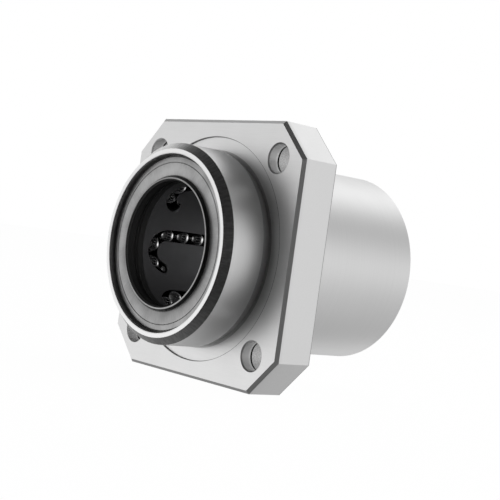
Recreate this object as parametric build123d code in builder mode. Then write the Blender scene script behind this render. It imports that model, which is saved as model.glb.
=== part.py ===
"""Linear ball bearing with a square flange and a pilot end, in millimetres.

The bore axis is Y. The pilot points to -Y, the barrel to +Y, and +Z is up. The origin is on the
bore axis, in the mounting face of the flange.
"""

import os
from math import asin, cos, degrees, hypot, pi, radians, sin, sqrt

from build123d import *

# Sleeve and flange, one piece of bearing steel
outer_diameter = 32.0
overall_length = 42.0
pilot_length = 8.35
flange_size = 42.0
flange_thickness = 7.0
end_chamfer_width = 1.07
end_chamfer_length = 1.18
front_edge_chamfer = 0.38
back_edge_chamfer = 0.2
root_groove_width = 1.24
root_groove_depth = 0.5
recess_width = 2.2
recess_depth = 0.3

# Bolt holes, counterbored from the barrel side for the screw heads
bolt_circle = 43.0
bolt_count = 4
bolt_hole_diameter = 4.5
bolt_hole_chamfer = 0.2
counterbore_diameter = 7.5
counterbore_depth = 4.8
corner_wall = 0.49

# Shaft, balls and ball circuits
shaft_diameter = 20.0
ball_share = 0.5292
ball_flats_share = 0.93
circuit_count = 6
balls_per_circuit = 20
first_circuit_angle = 188.4
turn_radius = 2.95
hook_start = 75.0
hook_angle = 164.0
first_ball_travel = 0.05
race_clearance = 0.01
channel_clearance = 0.0325
relief_clearance = 0.11
return_groove_clearance = 0.165
lead_in = 1.0

# Ball retainer, moulded in one piece
retainer_bore_clearance = 0.3
retainer_race_clearance = 0.135
retainer_end_wall = 0.45
return_floor = 0.58
slot_width = 1.9

# Seal shield, pressed from sheet steel, with a collar round the bore
collar_depth = 0.39
collar_clearance = 0.22
collar_wall = 0.38
collar_chamfer = 0.12
shield_depth = 0.85
shield_thickness = 0.6
shield_edge_chamfer = 0.2
shoulder_width = 0.55
rim_width = 0.65
press_clearance = 0.02

# Seal lip, moulded in rubber behind the shield
lip_front = 0.16
lip_lead = 0.2
lip_land = 1.15
lip_relief = 0.4
lip_skirt_clearance = 0.1

# Snap ring and end ring
snap_groove_depth = 0.7
snap_ring_thickness = 0.8
snap_ring_width = 2.05
snap_ring_clearance = 0.15
snap_ring_gap = 6.0
end_ring_thickness = 0.95
end_ring_clearance = 0.1
axial_clearance = 0.05

# Radii
outer_radius = outer_diameter / 2
shaft_radius = shaft_diameter / 2

# The balls take their share of the room between the shaft and the outside
ball_diameter = ball_share * (outer_radius - shaft_radius)
ball_radius = ball_diameter / 2
loaded_radius = shaft_radius + ball_radius
race_radius = loaded_radius + ball_radius + race_clearance
channel_radius = ball_radius + channel_clearance
retainer_bore = shaft_radius + retainer_bore_clearance
retainer_outer = race_radius - retainer_race_clearance
return_radius = retainer_bore + return_floor + channel_radius
relief_radius = return_radius + ball_radius + relief_clearance
snap_ring_outer = relief_radius + snap_groove_depth - snap_ring_clearance
snap_ring_inner = snap_ring_outer - snap_ring_width
root_groove_radius = outer_radius - root_groove_depth
collar_bore = shaft_radius + collar_clearance
collar_radius = collar_bore + collar_wall
rim_radius = relief_radius - press_clearance
face_radius = rim_radius - shoulder_width
rim_inner = face_radius - rim_width

# Depths below each end face
shield_back = shield_depth + shield_thickness
shoulder_back = shield_back + shield_thickness
snap_ring_front = shoulder_back + 2 * axial_clearance
end_ring_front = snap_ring_front + snap_ring_thickness + axial_clearance
retainer_depth = end_ring_front + end_ring_thickness + axial_clearance
turn_depth = retainer_depth + retainer_end_wall + channel_radius + turn_radius

# Places along the bore axis
front_end = -pilot_length
rear_end = overall_length - pilot_length
front_turn = front_end + turn_depth
rear_turn = rear_end - turn_depth
straight_length = rear_turn - front_turn

# The rows of a circuit lie at these heights above the bore axis, in the circuit's own frame
loaded_height = sqrt(loaded_radius**2 - turn_radius**2)
return_height = sqrt(return_radius**2 - turn_radius**2)
climb = return_height - loaded_height
turn_length = hypot(pi * turn_radius, climb)

# Balls touch along chords in a turn, so a turn holds fewer than its length of straight would
turn_share = ball_radius / (turn_radius * asin(ball_radius / turn_radius))
turn_travel = turn_length * turn_share
ball_pitch = 2 * (straight_length + turn_travel) / balls_per_circuit


def across(y):
    """The plane square to the bore axis at y, seen from the pilot, with Z up."""
    return Plane.XZ.offset(-y)


def depth_from(end, depth):
    """The place on the bore axis that lies this deep below the front or the rear end face."""
    return front_end + depth if end == "front" else rear_end - depth


def circuit_plane(index):
    """A circuit's frame: x points from its return row to its loaded row, y rearwards, z outwards."""
    angle = radians(first_circuit_angle + index * 360 / circuit_count)
    return Plane(origin=(0, 0, 0), x_dir=(sin(angle), 0, -cos(angle)), z_dir=(cos(angle), 0, sin(angle)))


def run_plane(place, heading):
    """The plane square to a circuit's run, front or rear by the heading, with its y outwards."""
    return Plane(origin=place, x_dir=(-heading, 0, 0), z_dir=(0, heading, 0))


def ball_place(index, travel):
    """Where a ball sits that has gone this far round a circuit from the end of the front turn."""
    laps, along = divmod(travel, straight_length + turn_travel)
    share = max(0.0, along - straight_length) / turn_travel
    x = turn_radius * cos(pi * share)
    y = min(along, straight_length) + turn_radius * sin(pi * share)
    height = loaded_height + climb * share
    if laps % 2:
        x, y, height = -x, straight_length - y, return_height - climb * share
    turned = 180 * (laps + share)
    return circuit_plane(index).location * Location((x, front_turn + y, height), (0, 0, turned))


def keep(piece, name):
    """Names a finished piece and writes it."""
    piece.part.label = name
    export_step(piece.part, f"parts/{name}.step")


# The sleeve starts as the flange plate, with its corners cut clear of the counterbores
bolt_radius = bolt_circle / 2
counterbore_radius = counterbore_diameter / 2
corner_cut = flange_size - sqrt(2) * (bolt_radius + counterbore_radius + corner_wall)

with BuildPart() as flanged_sleeve:
    with BuildSketch(across(0)) as plate:
        Rectangle(flange_size, flange_size)
        chamfer(plate.vertices(), corner_cut)
    extrude(amount=-flange_thickness)
    front_edges = flanged_sleeve.faces().sort_by(Axis.Y)[0].edges()
    chamfer(front_edges, front_edge_chamfer)
    back_edges = flanged_sleeve.faces().sort_by(Axis.Y)[-1].edges()
    chamfer(back_edges, back_edge_chamfer)

    # Pilot and barrel in one run, with both ends chamfered
    with BuildSketch(Plane.XY):
        with BuildLine():
            Polyline(
                (0, front_end),
                (outer_radius - end_chamfer_width, front_end),
                (outer_radius, front_end + end_chamfer_length),
                (outer_radius, rear_end - end_chamfer_length),
                (outer_radius - end_chamfer_width, rear_end),
                (0, rear_end),
                close=True,
            )
        make_face()
    revolve(axis=Axis.Y)

    # Grinding relief at the root of the pilot, with the shallow recess in the flange face
    with BuildSketch(Plane.XY):
        with Locations((root_groove_radius, recess_depth)):
            Rectangle(
                root_groove_depth + recess_width,
                root_groove_width + recess_depth,
                align=(Align.MIN, Align.MAX),
            )
    revolve(axis=Axis.Y, mode=Mode.SUBTRACT)

    # Race for the loaded rows, opened out at both ends for the turns and the end pieces
    with BuildSketch(Plane.XY):
        with BuildLine():
            Polyline(
                (0, front_end - lead_in),
                (relief_radius, front_end - lead_in),
                (relief_radius, front_turn),
                (race_radius, front_turn + lead_in),
                (race_radius, rear_turn - lead_in),
                (relief_radius, rear_turn),
                (relief_radius, rear_end + lead_in),
                (0, rear_end + lead_in),
                close=True,
            )
        make_face()
        for end in ("front", "rear"):
            groove_start = depth_from(end, snap_ring_front - axial_clearance)
            groove_stop = depth_from(end, end_ring_front)
            with Locations((relief_radius, (groove_start + groove_stop) / 2)):
                Rectangle(2 * snap_groove_depth, abs(groove_stop - groove_start))
    revolve(axis=Axis.Y, mode=Mode.SUBTRACT)

    # Grooves through the race that free the balls of each return row
    return_angle = first_circuit_angle + degrees(asin(turn_radius / return_radius))
    with BuildSketch(across(front_turn)):
        with PolarLocations(return_radius, circuit_count, start_angle=return_angle):
            Circle(ball_radius + return_groove_clearance)
    extrude(amount=-straight_length, mode=Mode.SUBTRACT)

    # Bolt holes, drilled from the barrel side
    with Locations(Plane(origin=(0, flange_thickness, 0), x_dir=(1, 0, 0), z_dir=(0, 1, 0))):
        with PolarLocations(bolt_radius, bolt_count, start_angle=45):
            CounterBoreHole(bolt_hole_diameter / 2, counterbore_radius, counterbore_depth)
    hole_rims = (
        flanged_sleeve.edges()
        .filter_by(GeomType.CIRCLE)
        .filter_by(lambda rim: abs(rim.radius - bolt_hole_diameter / 2) < 0.01)
        .filter_by(lambda rim: abs(rim.center().Y) < 0.01)
    )
    chamfer(hole_rims, bolt_hole_chamfer)
keep(flanged_sleeve, "flanged_sleeve")

# One ball circuit's channel, open outwards to the race, drawn in the circuit's own frame
with BuildSketch() as channel_section:
    RegularPolygon(channel_radius, 8, major_radius=False, rotation=22.5)
    Rectangle(2 * channel_radius, retainer_outer, align=(Align.CENTER, Align.MIN))

with BuildPart() as circuit_channel:
    for row, height in ((turn_radius, loaded_height), (-turn_radius, return_height)):
        with BuildSketch(run_plane((row, front_turn, height), 1)):
            add(channel_section.sketch)
        extrude(amount=straight_length)
    for turn, heading in ((front_turn, -1), (rear_turn, 1)):
        # Each turn climbs from the loaded row to the return row as half a turn of a helix
        with BuildSketch(run_plane((turn_radius, turn, loaded_height), heading)):
            add(channel_section.sketch)
        with BuildLine():
            Helix(2 * climb, climb, turn_radius, (0, turn, loaded_height), lefthand=heading < 0)
        sweep(is_frenet=True)
        # The slot to the shaft follows the turn and ends in a hook, where the balls are lifted clear
        with BuildLine(mode=Mode.PRIVATE) as hook:
            CenterArc((0, turn), turn_radius, hook_start * heading, (hook_angle - hook_start) * heading)
        with BuildSketch():
            SlotArc(hook.edge(), slot_width)
        extrude(amount=return_height)

with BuildPart() as ball_retainer:
    retainer_front = depth_from("front", retainer_depth)
    retainer_rear = depth_from("rear", retainer_depth)
    with BuildSketch(across(retainer_front)):
        Circle(retainer_outer)
        Circle(retainer_bore, mode=Mode.SUBTRACT)
    extrude(amount=retainer_front - retainer_rear)
    for index in range(circuit_count):
        add(circuit_channel.part.moved(circuit_plane(index).location), mode=Mode.SUBTRACT)
keep(ball_retainer, "ball_retainer")

# One ball, drawn with 26 flat faces to keep the part light
ball_flats = ball_flats_share * ball_diameter
with BuildPart() as ball:
    Box(ball_flats, ball_flats, ball_flats)
    chamfer(ball.edges(), ball_flats * (2 - sqrt(2)) / 2)

for index in range(circuit_count):
    travels = [first_ball_travel + step * ball_pitch for step in range(balls_per_circuit)]
    loaded = [travel for travel in travels if travel <= straight_length]
    returning = [travel for travel in travels if travel > straight_length]
    for row, row_travels in (("loaded", loaded), ("return", returning)):
        with BuildPart() as ball_row:
            with Locations(*[ball_place(index, travel) for travel in row_travels]):
                add(ball.part)
        keep(ball_row, f"{row}_balls_{index + 1}")

# The pieces that close each end. Their sections are drawn with x outwards and y as the depth
# below the end face
for end, face, up in (("front", front_end, 1), ("rear", rear_end, -1)):
    section_plane = Plane(origin=(0, face, 0), x_dir=(1, 0, 0), z_dir=(0, 0, up))

    with BuildPart() as seal_shield:
        with BuildSketch(section_plane) as section:
            with BuildLine():
                Polyline(
                    (collar_bore, collar_depth),
                    (collar_radius, collar_depth),
                    (collar_radius, shield_depth),
                    (face_radius, shield_depth),
                    (face_radius, shield_back),
                    (rim_radius, shield_back),
                    (rim_radius, shoulder_back),
                    (rim_inner, shoulder_back),
                    (rim_inner, shield_back),
                    (collar_bore, shield_back),
                    close=True,
                )
            make_face()
            corners = section.vertices()
            chamfer(corners.sort_by_distance((collar_radius, collar_depth, 0))[0], collar_chamfer)
            chamfer(corners.sort_by_distance((face_radius, shield_depth, 0))[0], shield_edge_chamfer)
        revolve(axis=Axis.Y)
    keep(seal_shield, f"{end}_seal_shield")

    with BuildPart() as seal_lip:
        lip_start = collar_depth + lip_front
        land_stop = lip_start + lip_lead + lip_land
        skirt_back = end_ring_front - axial_clearance
        with BuildSketch(section_plane):
            with BuildLine():
                Polyline(
                    (shaft_radius, lip_start + lip_lead),
                    (collar_bore, lip_start),
                    (collar_bore, shield_back),
                    (rim_inner, shield_back),
                    (rim_inner, shoulder_back),
                    (snap_ring_inner - lip_skirt_clearance, shoulder_back),
                    (snap_ring_inner - lip_skirt_clearance, skirt_back),
                    (shaft_radius + lip_relief, skirt_back),
                    (shaft_radius + lip_relief, land_stop + lip_relief),
                    (shaft_radius, land_stop),
                    close=True,
                )
            make_face()
        revolve(axis=Axis.Y)
    keep(seal_lip, f"{end}_seal_lip")

    with BuildPart() as snap_ring:
        ring_middle = depth_from(end, snap_ring_front + snap_ring_thickness / 2)
        with BuildSketch(across(ring_middle)):
            Circle(snap_ring_outer)
            Circle(snap_ring_inner, mode=Mode.SUBTRACT)
            Rectangle(snap_ring_gap, snap_ring_outer, align=(Align.CENTER, Align.MIN), mode=Mode.SUBTRACT)
        extrude(amount=snap_ring_thickness / 2, both=True)
    keep(snap_ring, f"{end}_snap_ring")

    with BuildPart() as end_ring:
        ring_middle = depth_from(end, end_ring_front + end_ring_thickness / 2)
        with BuildSketch(across(ring_middle)):
            Circle(relief_radius - end_ring_clearance)
            Circle(retainer_bore, mode=Mode.SUBTRACT)
        extrude(amount=end_ring_thickness / 2, both=True)
    keep(end_ring, f"{end}_end_ring")
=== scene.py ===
import math
import bmesh
import bpy
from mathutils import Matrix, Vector


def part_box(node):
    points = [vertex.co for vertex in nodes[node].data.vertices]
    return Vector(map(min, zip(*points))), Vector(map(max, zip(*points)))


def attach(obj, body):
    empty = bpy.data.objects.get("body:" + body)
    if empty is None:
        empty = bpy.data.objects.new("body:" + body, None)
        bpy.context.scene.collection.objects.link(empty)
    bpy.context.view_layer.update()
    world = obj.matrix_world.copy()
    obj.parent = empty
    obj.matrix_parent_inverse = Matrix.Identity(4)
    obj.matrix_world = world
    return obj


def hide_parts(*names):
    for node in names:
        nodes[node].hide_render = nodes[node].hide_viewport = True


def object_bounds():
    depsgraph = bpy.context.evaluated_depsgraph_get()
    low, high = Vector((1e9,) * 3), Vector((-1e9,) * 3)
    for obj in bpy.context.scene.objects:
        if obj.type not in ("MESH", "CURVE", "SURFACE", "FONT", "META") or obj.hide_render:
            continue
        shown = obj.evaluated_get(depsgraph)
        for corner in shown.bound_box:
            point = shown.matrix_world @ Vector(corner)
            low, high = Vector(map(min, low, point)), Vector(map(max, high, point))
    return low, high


# Flanged linear bearing: ground steel sleeve and flange, black retainer, steel balls, sealed ends.
# The bore axis is Y, the pilot points to -Y and +Z is up. All lengths are metres unless a name says mm.

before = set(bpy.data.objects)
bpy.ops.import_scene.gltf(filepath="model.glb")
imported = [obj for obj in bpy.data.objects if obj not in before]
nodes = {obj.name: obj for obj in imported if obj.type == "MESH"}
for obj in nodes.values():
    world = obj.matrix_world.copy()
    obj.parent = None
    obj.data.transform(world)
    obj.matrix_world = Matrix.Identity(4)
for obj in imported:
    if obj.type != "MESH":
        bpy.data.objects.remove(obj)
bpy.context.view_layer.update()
mm = 0.001
mergeMm = 0.001   # points nearer than this become one
nearMm = 0.01     # an edge or point this near to a given place is taken to be the one meant
print("frame loaded:", len(nodes), "nodes")


def hexToLinear(hexText):
    channels = []
    for start in (0, 2, 4):
        value = int(hexText[start:start + 2], 16) / 255
        channels.append(value / 12.92 if value <= 0.04045 else ((value + 0.055) / 1.055) ** 2.4)
    return (*channels, 1.0)


def addNode(tree, kind, settings=None, links=None):
    # settings are attributes or socket values, links run from another node's socket into this one
    node = tree.nodes.new(kind)
    for key, value in (settings or {}).items():
        if isinstance(key, str) and hasattr(node, key):
            setattr(node, key, value)
        else:
            node.inputs[key].default_value = value
    for key, source in (links or {}).items():
        tree.links.new(source, node.inputs[key])
    return node


def newMaterial(name):
    material = bpy.data.materials.new(name)
    material.use_nodes = True
    material.node_tree.nodes.clear()
    return material, material.node_tree


def paint(obj, material):
    if not obj.data.materials:
        obj.data.materials.append(material)
    for index in range(len(obj.data.materials)):
        obj.data.materials[index] = material


def selectOnly(obj):
    bpy.ops.object.select_all(action="DESELECT")
    obj.select_set(True)
    bpy.context.view_layer.objects.active = obj


# Places on the part in mm, which the materials' patterns and tones go by.
def pointInMm(tree):
    coords = addNode(tree, "ShaderNodeTexCoord")
    inMm = addNode(tree, "ShaderNodeVectorMath", {"operation": "SCALE", "Scale": 1 / mm},
                   {0: coords.outputs["Object"]})
    return inMm.outputs[0]


def distanceFromAxis(tree, point):
    # measured square to Y, the way the bore and the bolt holes run
    flat = addNode(tree, "ShaderNodeVectorMath", {"operation": "MULTIPLY", 1: (1, 0, 1)}, {0: point})
    distance = addNode(tree, "ShaderNodeVectorMath", {"operation": "LENGTH"}, {0: flat.outputs[0]})
    return distance.outputs["Value"]


def placesFrom(tree, point):
    parts = addNode(tree, "ShaderNodeSeparateXYZ", links={0: point})
    return {
        "across": parts.outputs["X"],
        "along": parts.outputs["Y"],
        "up": parts.outputs["Z"],
        "radius": distanceFromAxis(tree, point),
    }


def maskFrom(tree, places, limits):
    # a limit names a place, then the mm at which the mask is 0 and the mm at which it is 1
    mask = None
    for place, zeroMm, oneMm in limits:
        step = addNode(tree, "ShaderNodeMapRange",
                       {"interpolation_type": "SMOOTHSTEP", "From Min": zeroMm, "From Max": oneMm},
                       {"Value": places[place]}).outputs[0]
        if mask is None:
            mask = step
        else:
            mask = addNode(tree, "ShaderNodeMath", {"operation": "MULTIPLY"}, {0: mask, 1: step}).outputs[0]
    return mask


def layTones(tree, colour, tones, places, patterns):
    # each tone covers what is below it where its mask is 1, in one colour or in a pattern of two.
    # The masks come back too, for roughness that goes by the same places.
    masks = {}
    for name, tone in tones.items():
        masks[name] = maskFrom(tree, places, tone["where"])
        cover = addNode(tree, "ShaderNodeMix", {"data_type": "RGBA", "B": hexToLinear(tone["colour"])},
                        {"Factor": masks[name], "A": colour})
        if "pattern" in tone:
            darker = hexToLinear(tone["darker"])
            twoTone = {"data_type": "RGBA", "A": darker, "B": hexToLinear(tone["colour"])}
            mottled = addNode(tree, "ShaderNodeMix", twoTone, {"Factor": patterns[tone["pattern"]]})
            tree.links.new(mottled.outputs["Result"], cover.inputs["B"])
        colour = cover.outputs["Result"]
    return colour, masks


def fanStreaks(tree, places, widthDegrees, runs):
    # streaks that fan out from the bore axis and change slowly the way that they run
    angle = addNode(tree, "ShaderNodeMath", {"operation": "ARCTAN2"}, {0: places["up"], 1: places["across"]})
    fan = addNode(tree, "ShaderNodeMath", {"operation": "MULTIPLY", 1: math.degrees(1) / widthDegrees},
                  {0: angle.outputs[0]})
    strewn = addNode(tree, "ShaderNodeCombineXYZ", links={"X": fan.outputs[0], "Y": runs})
    streaks = addNode(tree, "ShaderNodeTexNoise", {"Scale": 1.0, "Detail": 3.0, "Roughness": 0.6},
                      {"Vector": strewn.outputs[0]})
    return streaks.outputs["Fac"]


# Sleeve steel. The tones match the photograph where it shows them, and several of them are painted light and
# shade, marked below. What finish is really there is a guess.
groundSteel = {
    "dark": "E9E9E9",
    "light": "F1F1F1",
    "roughness": 0.33,
    "frontRoughness": 0.42,
    "frontEndsMm": (0.5, 1.5),    # the front's roughness gives way to the other between these, along the axis
    "unevenness": 0.03,
    "cloudsPerMm": 0.18,
    "markSpacingMm": 0.22,        # real grinding marks are near 0.02 mm, drawn coarser so that they show
    "markDepthMm": 0.00014,
    "markStretch": 0.04,          # how fast a mark changes along its run across the flange
    "flangeStartsMm": (16.0, 16.1),
    "streakDegrees": 1.4,
    "contrast": (0.35, 0.65),
    "holeCentreMm": 15.2,
    "holeRoughness": 0.42,
    "chamferRoughness": 0.28,
    "tones": {
        "endChamfer": {
            "where": [("along", -7.15, -7.19), ("radius", 14.91, 14.95)],
            "pattern": "streaks", "darker": "B4B4B4", "colour": "CCCCCC",
        },
        # painted highlight: the end face is coloured brighter than the rest of the steel
        "endFacePaintedHighlight": {
            "where": [("along", -8.2, -8.3), ("radius", 14.95, 14.91), ("radius", 14.3, 14.4)],
            "colour": "FFFFFF",
        },
        # painted shade: the relief groove at the pilot's root is coloured darker
        "reliefGrooveShade": {
            "where": [("along", -1.26, -1.2), ("along", 0.45, 0.4), ("radius", 16.15, 16.05)],
            "colour": "CACACA",
        },
        # painted shade: a dark line round the edge of the recess in the flange face
        "recessStepShade": {
            "where": [("radius", 18.1, 18.14), ("radius", 18.28, 18.24), ("along", 0.45, 0.4)],
            "colour": "8A8A8A",
        },
        # painted shade: the flange's back edge chamfers are coloured darker
        "backEdgesShade": {
            "where": [("along", 6.66, 6.7), ("along", 6.98, 6.94), ("radius", 19.0, 19.1)],
            "colour": "AAAAAA",
        },
        "boltHoles": {
            "where": [("fromHole", 2.5, 2.35)],
            "colour": "EAEAEA",
        },
        # machining marks, and painted shade: the counterbore walls are coloured darker than the steel
        "counterboreMarksAndShade": {
            "where": [("fromHole", 4.1, 4.0), ("along", 2.5, 2.6)],
            "pattern": "marks", "darker": "B4B4B4", "colour": "D0D0D0",
        },
        # a painted highlight as a bright line at the holes' inner ends, and painted shade as a dark band
        # beside it
        "boltHoleEndHighlight": {
            "where": [("fromHole", 2.5, 2.35), ("along", 1.5, 1.55)],
            "colour": "FFFFFF",
        },
        # painted shade: a near black band round the hole wall near its inner end
        "boltHoleShadeBands": {
            "where": [
                ("along", 1.85, 1.9), ("along", 2.35, 2.25),
                ("fromHole", 2.32, 2.27), ("fromHole", 2.15, 2.2),
            ],
            "colour": "0C0C0C",
        },
    },
}


def makeGroundSteel():
    # Bearing steel, hardened and ground: bright, with faint marks that run round the cylinders and
    # straight across the flange. The drilled holes stay duller than the ground faces.
    steel = groundSteel
    material, tree = newMaterial("bearingSteelGround")
    point = pointInMm(tree)
    places = placesFrom(tree, point)

    # the four bolt holes mirror onto one, whose axis is then measured from
    centre = steel["holeCentreMm"]
    folded = addNode(tree, "ShaderNodeVectorMath", {"operation": "ABSOLUTE"}, {0: point})
    shifted = addNode(tree, "ShaderNodeVectorMath", {"operation": "SUBTRACT", 1: (centre, 0, centre)},
                      {0: folded.outputs[0]})
    places["fromHole"] = distanceFromAxis(tree, shifted.outputs[0])

    turned = addNode(tree, "ShaderNodeCombineXYZ", links={"X": places["along"], "Y": places["radius"]})
    planed = addNode(tree, "ShaderNodeVectorMath", {"operation": "MULTIPLY", 1: (steel["markStretch"], 1, 1)},
                     {0: point})
    flangeFrom, flangeTo = steel["flangeStartsMm"]
    onFlange = addNode(tree, "ShaderNodeMapRange", {"From Min": flangeFrom, "From Max": flangeTo},
                       {"Value": places["radius"]})
    way = addNode(tree, "ShaderNodeMix", {"data_type": "VECTOR"},
                  {"Factor": onFlange.outputs[0], "A": turned.outputs[0], "B": planed.outputs[0]})
    marks = addNode(tree, "ShaderNodeTexNoise",
                    {"Scale": 1 / steel["markSpacingMm"], "Detail": 3.0, "Roughness": 0.6},
                    {"Vector": way.outputs["Result"]}).outputs["Fac"]
    streaks = fanStreaks(tree, places, steel["streakDegrees"], places["along"])

    faint, strong = steel["contrast"]
    patterns = {}
    for name, noise in (("marks", marks), ("streaks", streaks)):
        patterns[name] = addNode(tree, "ShaderNodeMapRange",
                                 {"interpolation_type": "SMOOTHSTEP", "From Min": faint, "From Max": strong},
                                 {"Value": noise}).outputs[0]
    twoTone = {"data_type": "RGBA", "A": hexToLinear(steel["dark"]), "B": hexToLinear(steel["light"])}
    steelTint = addNode(tree, "ShaderNodeMix", twoTone, {"Factor": marks})
    tint, masks = layTones(tree, steelTint.outputs["Result"], steel["tones"], places, patterns)

    frontFrom, frontTo = steel["frontEndsMm"]
    base = addNode(tree, "ShaderNodeMapRange",
                   {"interpolation_type": "SMOOTHSTEP", "From Min": frontFrom, "From Max": frontTo,
                    "To Min": steel["frontRoughness"], "To Max": steel["roughness"]},
                   {"Value": places["along"]})
    cloud = addNode(tree, "ShaderNodeTexNoise", {"Scale": steel["cloudsPerMm"], "Detail": 2.0},
                    {"Vector": point})
    uneven = addNode(tree, "ShaderNodeMapRange",
                     {"To Min": -steel["unevenness"], "To Max": steel["unevenness"]},
                     {"Value": cloud.outputs["Fac"]})
    rough = addNode(tree, "ShaderNodeMath", {"operation": "ADD"}, {0: base.outputs[0], 1: uneven.outputs[0]})
    for name, roughness in (("boltHoles", steel["holeRoughness"]), ("endChamfer", steel["chamferRoughness"])):
        rough = addNode(tree, "ShaderNodeMix", {"data_type": "FLOAT", 3: roughness},
                        {0: masks[name], 2: rough.outputs[0]})

    bump = addNode(tree, "ShaderNodeBump", {"Strength": 0.5, "Distance": steel["markDepthMm"] * mm},
                   {"Height": marks})
    shader = addNode(tree, "ShaderNodeBsdfPrincipled", {"Metallic": 1.0},
                     {"Base Color": tint, "Roughness": rough.outputs[0], "Normal": bump.outputs[0]})
    addNode(tree, "ShaderNodeOutputMaterial", links={"Surface": shader.outputs[0]})
    return material


shieldSteel = {
    "dark": "989898",
    "light": "B0B0B0",
    "contrast": (0.5, 1.1),
    "roughness": 0.36,
    "cloudsPerMm": 0.35,
    "streakDegrees": 1.1,     # real brush marks are finer, drawn coarser so that they show
    "streakDepthMm": 0.0012,
    "streakShare": 0.6,       # how much the streaks add to the clouds, and how fast they change outwards
    "tones": {
        # painted shade: dark in the gap round the shield's face
        "gapRoundShade": {
            "where": [("radius", 13.75, 13.79)],
            "colour": "484848",
        },
        # painted shade: dark round the foot of the collar
        "collarFootShade": {
            "where": [("radius", 10.44, 10.48), ("radius", 10.82, 10.72)],
            "colour": "484848",
        },
    },
}


def makeShieldSteel():
    # Cold rolled sheet, pressed and scratch brushed outwards from the bore: a soft grey, not a mirror.
    # The gap round it and the collar's foot get painted shade, dark grey, as in the photograph.
    sheet = shieldSteel
    material, tree = newMaterial("sheetSteelBrushed")
    point = pointInMm(tree)
    places = placesFrom(tree, point)
    slow = addNode(tree, "ShaderNodeMath", {"operation": "MULTIPLY", 1: sheet["streakShare"]},
                   {0: places["radius"]})
    streaks = fanStreaks(tree, places, sheet["streakDegrees"], slow.outputs[0])
    cloud = addNode(tree, "ShaderNodeTexNoise", {"Scale": sheet["cloudsPerMm"], "Detail": 3.0},
                    {"Vector": point})
    blend = addNode(tree, "ShaderNodeMath", {"operation": "MULTIPLY_ADD", 1: sheet["streakShare"]},
                    {0: streaks, 2: cloud.outputs["Fac"]})
    faint, strong = sheet["contrast"]
    spread = addNode(tree, "ShaderNodeMapRange",
                     {"interpolation_type": "SMOOTHSTEP", "From Min": faint, "From Max": strong},
                     {"Value": blend.outputs[0]})
    twoTone = {"data_type": "RGBA", "A": hexToLinear(sheet["dark"]), "B": hexToLinear(sheet["light"])}
    sheetTint = addNode(tree, "ShaderNodeMix", twoTone, {"Factor": spread.outputs[0]})
    tint = layTones(tree, sheetTint.outputs["Result"], sheet["tones"], places, {})[0]
    bump = addNode(tree, "ShaderNodeBump", {"Strength": 0.5, "Distance": sheet["streakDepthMm"] * mm},
                   {"Height": streaks})
    shader = addNode(tree, "ShaderNodeBsdfPrincipled", {"Metallic": 1.0, "Roughness": sheet["roughness"]},
                     {"Base Color": tint, "Normal": bump.outputs[0]})
    addNode(tree, "ShaderNodeOutputMaterial", links={"Surface": shader.outputs[0]})
    return material


ballSteel = {
    "name": "chromeSteelLapped",
    "dark": "E8E8E8",
    "light": "F2F2F2",
    "roughness": (0.05, 0.11),
    "cloudsPerMm": 2.0,
    "detail": 2.0,
}
ringSteel = {
    "name": "springSteelBlackened",
    "dark": "2A2A2A",
    "light": "464646",
    "roughness": (0.3, 0.45),
    "cloudsPerMm": 1.2,
    "detail": 4.0,
}


def makeCloudedSteel(look):
    # Chrome steel balls, lapped: near mirrors with a trace of haze.
    # Spring steel snap rings, hardened and blackened: dark with a satin gleam.
    material, tree = newMaterial(look["name"])
    haze = addNode(tree, "ShaderNodeTexNoise", {"Scale": look["cloudsPerMm"], "Detail": look["detail"]},
                   {"Vector": pointInMm(tree)})
    smoothest, dullest = look["roughness"]
    rough = addNode(tree, "ShaderNodeMapRange", {"To Min": smoothest, "To Max": dullest},
                    {"Value": haze.outputs["Fac"]})
    tint = addNode(tree, "ShaderNodeMix",
                   {"data_type": "RGBA", "A": hexToLinear(look["dark"]), "B": hexToLinear(look["light"])},
                   {"Factor": haze.outputs["Fac"]})
    shader = addNode(tree, "ShaderNodeBsdfPrincipled", {"Metallic": 1.0},
                     {"Base Color": tint.outputs["Result"], "Roughness": rough.outputs[0]})
    addNode(tree, "ShaderNodeOutputMaterial", links={"Surface": shader.outputs[0]})
    return material


moulded = {
    "ior": 1.48,
    "smoother": 0.05,         # the ripple's hollows and crests are this much smoother and duller
    "duller": 0.08,
    "rippleDepthMm": 0.004,
}
retainerResin = {
    "name": "acetalMoulded",
    "dark": "2B2B2C",
    "light": "343435",
    "roughness": 0.32,
    "rippleMm": 1.5,
    # painted shade: the resin is near black inside the ball channels
    "tones": {"ballChannelShade": {"where": [("radius", 10.45, 10.7)], "colour": "020202"}},
}
endRingResin = {
    "name": "acetalMouldedSatin",
    "dark": "161616",
    "light": "1C1C1C",
    "roughness": 0.45,
    "rippleMm": 0.8,
    "tones": {},
}
lipRubber = {
    "name": "nitrileRubberMoulded",
    "dark": "141414",
    "light": "1A1A1A",
    "roughness": 0.5,
    "rippleMm": 0.4,
    "tones": {},
}


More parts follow.
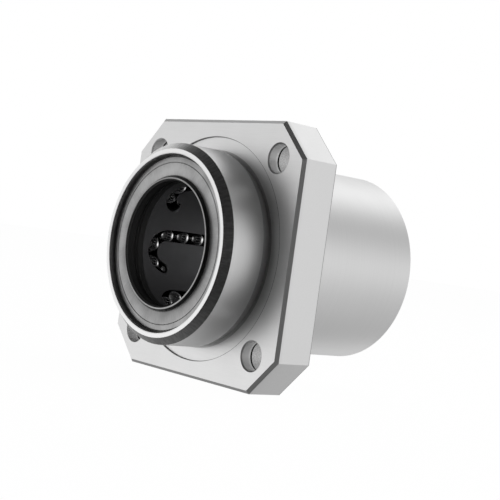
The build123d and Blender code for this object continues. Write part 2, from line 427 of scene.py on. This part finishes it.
def makeMoulded(look):
    # Moulded black resin or rubber: a soft gloss with a slight ripple. Inside the ball channels
    # the resin gets painted shade, near black.
    material, tree = newMaterial(look["name"])
    point = pointInMm(tree)
    ripple = addNode(tree, "ShaderNodeTexNoise", {"Scale": 1 / look["rippleMm"], "Detail": 3.0},
                     {"Vector": point}).outputs["Fac"]
    tint = addNode(tree, "ShaderNodeMix",
                   {"data_type": "RGBA", "A": hexToLinear(look["dark"]), "B": hexToLinear(look["light"])},
                   {"Factor": ripple}).outputs["Result"]
    if look["tones"]:
        tint = layTones(tree, tint, look["tones"], {"radius": distanceFromAxis(tree, point)}, {})[0]
    smoothest = look["roughness"] - moulded["smoother"]
    dullest = look["roughness"] + moulded["duller"]
    rough = addNode(tree, "ShaderNodeMapRange", {"To Min": smoothest, "To Max": dullest}, {"Value": ripple})
    bump = addNode(tree, "ShaderNodeBump", {"Strength": 0.4, "Distance": moulded["rippleDepthMm"] * mm},
                   {"Height": ripple})
    shader = addNode(tree, "ShaderNodeBsdfPrincipled", {"IOR": moulded["ior"]},
                     {"Base Color": tint, "Roughness": rough.outputs[0], "Normal": bump.outputs[0]})
    addNode(tree, "ShaderNodeOutputMaterial", links={"Surface": shader.outputs[0]})
    return material


sleeveMaterial = makeGroundSteel()
shieldMaterial = makeShieldSteel()
ballMaterial = makeCloudedSteel(ballSteel)
ringMaterial = makeCloudedSteel(ringSteel)
retainerMaterial = makeMoulded(retainerResin)
endRingMaterial = makeMoulded(endRingResin)
lipMaterial = makeMoulded(lipRubber)

paint(nodes["flanged_sleeve"], sleeveMaterial)
paint(nodes["ball_retainer"], retainerMaterial)
for end in ("front", "rear"):
    paint(nodes[end + "_seal_shield"], shieldMaterial)
    paint(nodes[end + "_seal_lip"], lipMaterial)
    paint(nodes[end + "_end_ring"], endRingMaterial)
    paint(nodes[end + "_snap_ring"], ringMaterial)
for name, obj in nodes.items():
    if "balls" in name:
        paint(obj, ballMaterial)
print("materials done")

# Seal shields: a section drawn point by point, turned round the bore axis, with its edges rounded.
shield = {
    "collarBoreMm": 10.22,
    "collarRadiusMm": 10.45,
    "collarRoundMm": 0.08,
    "footRadiusMm": 10.78,
    "footSlopeMm": 0.12,
    "collarDepthMm": 0.39,
    "footDepthMm": 0.93,
    "faceDepthMm": 0.85,
    "faceRadiusMm": 13.74,
    "faceRoundMm": 0.07,
    "scoreRadiusMm": 12.86,
    "scoreWidthMm": 0.16,
    "scoreDepthMm": 0.1,
    "backDepthMm": 1.45,
    "rimInnerMm": 12.978,
    "rimRadiusMm": 14.178,
    "shoulderBackMm": 2.05,
    "turnSteps": 160,
    "roundSegments": 3,
    "smoothDegrees": 35,
}


def turnSection(name, pointsMm, steps):
    # one vertex is pushed along the section, then the chain is spun round the Y axis
    bpy.ops.object.select_all(action="DESELECT")
    bpy.ops.mesh.primitive_plane_add(size=mm, location=(0, 0, 0))
    piece = bpy.context.active_object
    piece.name = name
    bpy.ops.object.mode_set(mode="EDIT")
    bpy.ops.mesh.select_mode(type="VERT")
    bpy.ops.mesh.select_all(action="SELECT")
    bpy.ops.mesh.merge(type="CENTER")
    firstX, firstY = pointsMm[0]
    bpy.ops.transform.translate(value=(firstX * mm, firstY * mm, 0))
    for (fromX, fromY), (toX, toY) in zip(pointsMm, pointsMm[1:] + pointsMm[:1]):
        step = ((toX - fromX) * mm, (toY - fromY) * mm, 0)
        bpy.ops.mesh.extrude_vertices_move(TRANSFORM_OT_translate={"value": step})
    bpy.ops.mesh.select_all(action="SELECT")
    bpy.ops.mesh.remove_doubles(threshold=mergeMm * mm)
    bpy.ops.mesh.spin(steps=steps, angle=math.tau, center=(0, 0, 0), axis=(0, 1, 0))
    bpy.ops.mesh.select_all(action="SELECT")
    bpy.ops.mesh.remove_doubles(threshold=mergeMm * mm)
    bpy.ops.mesh.normals_make_consistent(inside=False)
    bpy.ops.object.mode_set(mode="OBJECT")
    return piece


def roundRing(piece, radiusMm, placeMm, widthMm):
    # bevels the ring of edges at this radius and place along the axis
    bpy.ops.object.mode_set(mode="EDIT")
    bpy.ops.mesh.select_mode(type="EDGE")
    bpy.ops.mesh.select_all(action="DESELECT")
    shape = bmesh.from_edit_mesh(piece.data)
    for edge in shape.edges:
        ends = [(math.hypot(vert.co.x, vert.co.z) / mm, vert.co.y / mm) for vert in edge.verts]
        if all(abs(radius - radiusMm) < nearMm and abs(place - placeMm) < nearMm for radius, place in ends):
            edge.select = True
    bmesh.update_edit_mesh(piece.data)
    bpy.ops.mesh.bevel(offset=widthMm * mm, segments=shield["roundSegments"], affect="EDGES")
    bpy.ops.mesh.select_all(action="DESELECT")
    bpy.ops.object.mode_set(mode="OBJECT")


def makeShield(end):
    # depth runs inwards from the end face of the sleeve
    s = shield
    lowCorner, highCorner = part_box("flanged_sleeve")
    face, inwards = (lowCorner[1] / mm, 1) if end == "front" else (highCorner[1] / mm, -1)
    half = s["scoreWidthMm"] / 2
    section = [
        (s["collarBoreMm"], s["collarDepthMm"]),
        (s["collarRadiusMm"], s["collarDepthMm"]),
        (s["footRadiusMm"], s["footDepthMm"]),
        (s["footRadiusMm"] + s["footSlopeMm"], s["faceDepthMm"]),
        (s["scoreRadiusMm"] - half, s["faceDepthMm"]),
        (s["scoreRadiusMm"], s["faceDepthMm"] + s["scoreDepthMm"]),
        (s["scoreRadiusMm"] + half, s["faceDepthMm"]),
        (s["faceRadiusMm"], s["faceDepthMm"]),
        (s["faceRadiusMm"], s["backDepthMm"]),
        (s["rimRadiusMm"], s["backDepthMm"]),
        (s["rimRadiusMm"], s["shoulderBackMm"]),
        (s["rimInnerMm"], s["shoulderBackMm"]),
        (s["rimInnerMm"], s["backDepthMm"]),
        (s["collarBoreMm"], s["backDepthMm"]),
    ]
    placed = [(radius, face + inwards * depth) for radius, depth in section]
    piece = turnSection(end + "_pressed_shield", placed, s["turnSteps"])
    roundRing(piece, s["collarRadiusMm"], face + inwards * s["collarDepthMm"], s["collarRoundMm"])
    roundRing(piece, s["faceRadiusMm"], face + inwards * s["faceDepthMm"], s["faceRoundMm"])
    selectOnly(piece)
    bpy.ops.object.shade_smooth_by_angle(angle=math.radians(s["smoothDegrees"]), keep_sharp_edges=True)
    paint(piece, shieldMaterial)
    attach(piece, "root")
    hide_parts(end + "_seal_shield")


for end in ("front", "rear"):
    makeShield(end)
print("shields done")

# Sleeve: a copy of the CAD mesh, its flange's front chamfer widened to what the photograph shows.
flange = {
    "halfSizeMm": 21.0,
    "sourceChamferMm": 0.38,
    "chamferMm": 0.5,
    "rimMm": 0.05,            # a point of the chamfer is at most this far inside its inner edge
    "smoothDegrees": 25,
}


def pickRim(piece, alongMm):
    # selects the chamfer's ring of points at this place along the axis
    innerMm = flange["halfSizeMm"] - flange["sourceChamferMm"] - flange["rimMm"]
    bpy.ops.mesh.select_mode(type="VERT")
    bpy.ops.mesh.select_all(action="DESELECT")
    shape = bmesh.from_edit_mesh(piece.data)
    for vert in shape.verts:
        place = vert.co / mm
        if abs(place.y - alongMm) < nearMm and max(abs(place.x), abs(place.z)) > innerMm:
            vert.select = True
    shape.select_flush(True)
    bmesh.update_edit_mesh(piece.data)


def widenFrontChamfer():
    piece = bpy.data.objects.new("sleeve_wide_chamfer", nodes["flanged_sleeve"].data.copy())
    bpy.context.scene.collection.objects.link(piece)
    selectOnly(piece)
    source = flange["sourceChamferMm"]
    shrink = (flange["halfSizeMm"] - flange["chamferMm"]) / (flange["halfSizeMm"] - source)
    bpy.ops.object.mode_set(mode="EDIT")
    bpy.ops.mesh.select_all(action="SELECT")
    bpy.ops.mesh.remove_doubles(threshold=mergeMm * mm)
    pickRim(piece, 0.0)
    bpy.ops.transform.resize(value=(shrink, 1, shrink), center_override=(0, 0, 0))
    pickRim(piece, source)
    bpy.ops.transform.translate(value=(0, (flange["chamferMm"] - source) * mm, 0))
    bpy.ops.mesh.select_all(action="SELECT")
    bpy.ops.mesh.normals_make_consistent(inside=False)
    bpy.ops.object.mode_set(mode="OBJECT")
    bpy.ops.mesh.customdata_custom_splitnormals_clear()
    bpy.ops.object.shade_smooth_by_angle(angle=math.radians(flange["smoothDegrees"]), keep_sharp_edges=False)
    paint(piece, sleeveMaterial)
    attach(piece, "root")
    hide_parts("flanged_sleeve")


widenFrontChamfer()
print("sleeve done")

# Balls: one lapped ball, copied to where the source has its 26-faced ones.
balls = {"diameterMm": 3.175, "cuts": 7}


def makeBall():
    # a cube cut up and blown round, so that its faces are even all over
    bpy.ops.object.select_all(action="DESELECT")
    bpy.ops.mesh.primitive_cube_add(size=balls["diameterMm"] * mm)
    bpy.ops.object.mode_set(mode="EDIT")
    bpy.ops.mesh.select_all(action="SELECT")
    bpy.ops.mesh.subdivide(number_cuts=balls["cuts"])
    bpy.ops.transform.tosphere(value=1.0)
    bpy.ops.object.mode_set(mode="OBJECT")
    ball = bpy.context.active_object
    grown = balls["diameterMm"] * mm / 2 / ball.data.vertices[0].co.length
    ball.scale = (grown, grown, grown)
    bpy.ops.object.transform_apply(location=False, rotation=False, scale=True)
    bpy.ops.object.shade_smooth()
    paint(ball, ballMaterial)
    return ball


def ballCentres(obj):
    # the middle of each loose solid of the node, taken in the mesh's own order so that runs are alike
    loose = bmesh.new()
    loose.from_mesh(obj.data)
    bmesh.ops.remove_doubles(loose, verts=loose.verts, dist=nearMm * mm)
    seen = set()
    centres = []
    for start in loose.verts:
        if start in seen:
            continue
        seen.add(start)
        group = [start]
        for vert in group:
            for edge in vert.link_edges:
                other = edge.other_vert(vert)
                if other not in seen:
                    seen.add(other)
                    group.append(other)
        centres.append(sum((vert.co for vert in group), Vector()) / len(group))
    loose.free()
    return centres


firstBall = makeBall()
for name in sorted(nodes):
    if "balls" not in name:
        continue
    bpy.ops.object.select_all(action="DESELECT")
    for centre in ballCentres(nodes[name]):
        ball = firstBall.copy()
        ball.data = firstBall.data.copy()
        ball.location = centre
        bpy.context.scene.collection.objects.link(ball)
        ball.select_set(True)
        bpy.context.view_layer.objects.active = ball
    bpy.ops.object.join()
    bpy.ops.object.transform_apply(location=True, rotation=True, scale=True)
    piece = bpy.context.active_object
    piece.name = "lapped_" + name
    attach(piece, "root")
    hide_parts(name)
bpy.data.objects.remove(firstBall)
print("balls done")

# Floor: pale paper, which metal sees the studio through.
floorLook = {"sizeMm": 4000, "colour": "F4F4F4", "whiteShare": 0.985}
bpy.ops.object.select_all(action="DESELECT")
bpy.ops.mesh.primitive_plane_add(size=floorLook["sizeMm"] * mm, location=(0, 0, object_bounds()[0][2]))
floor = bpy.context.active_object
floor.name = "floor"
bpy.ops.object.transform_apply(location=True, rotation=True, scale=True)
floorMaterial, tree = newMaterial("paperFloor")
rays = addNode(tree, "ShaderNodeLightPath")
paper = addNode(tree, "ShaderNodeBsdfDiffuse", {"Color": hexToLinear(floorLook["colour"])})
white = addNode(tree, "ShaderNodeEmission", {"Color": (1, 1, 1, 1), "Strength": 1.0})
share = addNode(tree, "ShaderNodeMath", {"operation": "MULTIPLY", 1: floorLook["whiteShare"]},
                {0: rays.outputs["Is Camera Ray"]})
seen = addNode(tree, "ShaderNodeMixShader",
               links={0: share.outputs[0], 1: paper.outputs[0], 2: white.outputs[0]})
through = addNode(tree, "ShaderNodeMath", {"operation": "MAXIMUM"},
                  {0: rays.outputs["Is Glossy Ray"], 1: rays.outputs["Is Transmission Ray"]})
studioBehind = addNode(tree, "ShaderNodeBsdfTransparent")
mixed = addNode(tree, "ShaderNodeMixShader",
                links={0: through.outputs[0], 1: seen.outputs[0], 2: studioBehind.outputs[0]})
addNode(tree, "ShaderNodeOutputMaterial", links={"Surface": mixed.outputs[0]})
paint(floor, floorMaterial)

# Studio: soft boxes behind the part and two in front of it, placed after the reflections in the
# photograph. The camera's side is left dark.
studio = {
    "ambient": 0.02,
    "frontBoxes": {
        "left": {"towards": (-0.72, -0.69, -0.18), "sharpness": 5.0, "level": 1.15},
        "middle": {"towards": (0.22, -0.97, 0.05), "sharpness": 45.0, "level": 1.6},
    },
    "backAmbient": 0.02,
    "backBoxes": {
        "high": {"towards": (-0.09, 0.71, 0.69), "sharpness": 10.7, "level": 0.98},
        "right": {"towards": (0.89, 0.42, 0.19), "sharpness": 5.7, "level": 0.89},
        "farRight": {"towards": (0.3, 0.95, 0.0), "sharpness": 45.0, "level": 1.0},
        "lowRight": {"towards": (0.55, 0.51, -0.66), "sharpness": 5.7, "level": 0.48},
        "low": {"towards": (-0.37, 0.86, -0.35), "sharpness": 8.9, "level": 0.88},
        "highLeft": {"towards": (-0.83, 0.35, 0.43), "sharpness": 5.6, "level": 0.98},
    },
    "backEdge": (0.0, 0.15),          # the boxes behind end where the direction's Y goes through these
    "viewDirection": (-0.7535, 0.657, 0.0),
    "backdropEdge": (0.95, 0.99),     # the backdrop ends where the cosine to the view goes through these
    "backdropLevel": 0.76,
}


def addSoftBox(tree, direction, box, below):
    # a soft box fades from its middle as level * exp(sharpness * (cosine - 1)), added to what is below it
    towards = Vector(box["towards"]).normalized()
    facing = addNode(tree, "ShaderNodeVectorMath", {"operation": "DOT_PRODUCT", 1: towards}, {0: direction})
    sharpness = box["sharpness"]
    steep = addNode(tree, "ShaderNodeMath", {"operation": "MULTIPLY_ADD", 1: sharpness, 2: -sharpness},
                    {0: facing.outputs["Value"]})
    fade = addNode(tree, "ShaderNodeMath", {"operation": "EXPONENT"}, {0: steep.outputs[0]})
    lit = addNode(tree, "ShaderNodeMath", {"operation": "MULTIPLY_ADD", 1: box["level"]},
                  {0: fade.outputs[0], 2: below})
    return lit.outputs[0]


world = bpy.data.worlds.new("studio")
bpy.context.scene.world = world
world.use_nodes = True
tree = world.node_tree
tree.nodes.clear()
coords = addNode(tree, "ShaderNodeTexCoord")
direction = addNode(tree, "ShaderNodeVectorMath", {"operation": "NORMALIZE"},
                    {0: coords.outputs["Generated"]}).outputs[0]
depth = addNode(tree, "ShaderNodeSeparateXYZ", links={0: direction}).outputs["Y"]
lit = addNode(tree, "ShaderNodeMath", {"operation": "ADD", 0: studio["backAmbient"], 1: 0.0}).outputs[0]
for box in studio["backBoxes"].values():
    lit = addSoftBox(tree, direction, box, lit)
edgeFrom, edgeTo = studio["backEdge"]
edge = addNode(tree, "ShaderNodeMapRange",
               {"interpolation_type": "SMOOTHSTEP", "From Min": edgeFrom, "From Max": edgeTo},
               {"Value": depth})
lit = addNode(tree, "ShaderNodeMath", {"operation": "MULTIPLY_ADD", 2: studio["ambient"]},
              {0: lit, 1: edge.outputs[0]}).outputs[0]
for box in studio["frontBoxes"].values():
    lit = addSoftBox(tree, direction, box, lit)
rays = addNode(tree, "ShaderNodeLightPath")
reflected = addNode(tree, "ShaderNodeMath", {"operation": "MAXIMUM"},
                    {0: rays.outputs["Is Glossy Ray"], 1: rays.outputs["Is Transmission Ray"]})
ahead = addNode(tree, "ShaderNodeVectorMath", {"operation": "DOT_PRODUCT", 1: studio["viewDirection"]},
                {0: direction})
backdropFrom, backdropTo = studio["backdropEdge"]
backdrop = addNode(tree, "ShaderNodeMapRange",
                   {"interpolation_type": "SMOOTHSTEP", "From Min": backdropFrom, "From Max": backdropTo,
                    "To Max": studio["backdropLevel"]},
                   {"Value": ahead.outputs["Value"]})
behind = addNode(tree, "ShaderNodeMath", {"operation": "MULTIPLY"},
                 {0: reflected.outputs[0], 1: backdrop.outputs[0]})
shown = addNode(tree, "ShaderNodeMath", {"operation": "MAXIMUM"},
                {0: rays.outputs["Is Camera Ray"], 1: behind.outputs[0]})
level = addNode(tree, "ShaderNodeMath", {"operation": "MAXIMUM"}, {0: lit, 1: shown.outputs[0]})
background = addNode(tree, "ShaderNodeBackground", {"Color": (1, 1, 1, 1)}, {"Strength": level.outputs[0]})
addNode(tree, "ShaderNodeOutputWorld", links={"Surface": background.outputs[0]})

# Lamps for the dull surfaces alone: the steel's reflections come from the boxes above.
lamps = {
    "topSoftbox": {"sizeMm": 500, "watts": 1.0, "placeMm": (-150, 250, 520)},
    "boreFill": {"sizeMm": 120, "watts": 2.6, "placeMm": (240, -400, 20)},
    "rearFill": {"sizeMm": 120, "watts": 3.5, "placeMm": (200, 330, 10)},
}
for name, lamp in lamps.items():
    light = bpy.data.lights.new(name, "AREA")
    light.shape = "SQUARE"
    light.size = lamp["sizeMm"] * mm
    light.energy = lamp["watts"]
    lampObject = bpy.data.objects.new(name, light)
    bpy.context.scene.collection.objects.link(lampObject)
    lampObject.location = Vector(lamp["placeMm"]) * mm
    lampObject.rotation_euler = (-lampObject.location).to_track_quat("-Z", "Y").to_euler()
    lampObject.visible_glossy = False
print("studio done")

# Camera at the photograph's angle.
view = {
    "lens": 85.893,
    "sensorWidth": 36,
    "clipStartMm": 5,
    "placeMm": (150.325, -121.0, 1.295),
    "turnDegrees": (89.837, -7.932, 48.927),
}
cameraData = bpy.data.cameras.new("camera")
cameraData.sensor_width = view["sensorWidth"]
cameraData.lens = view["lens"]
cameraData.clip_start = view["clipStartMm"] * mm
camera = bpy.data.objects.new("camera", cameraData)
bpy.context.scene.collection.objects.link(camera)
camera.location = Vector(view["placeMm"]) * mm
camera.rotation_euler = [math.radians(angle) for angle in view["turnDegrees"]]
bpy.context.scene.camera = camera

bpy.context.scene.view_settings.view_transform = "Standard"

print("scene done")
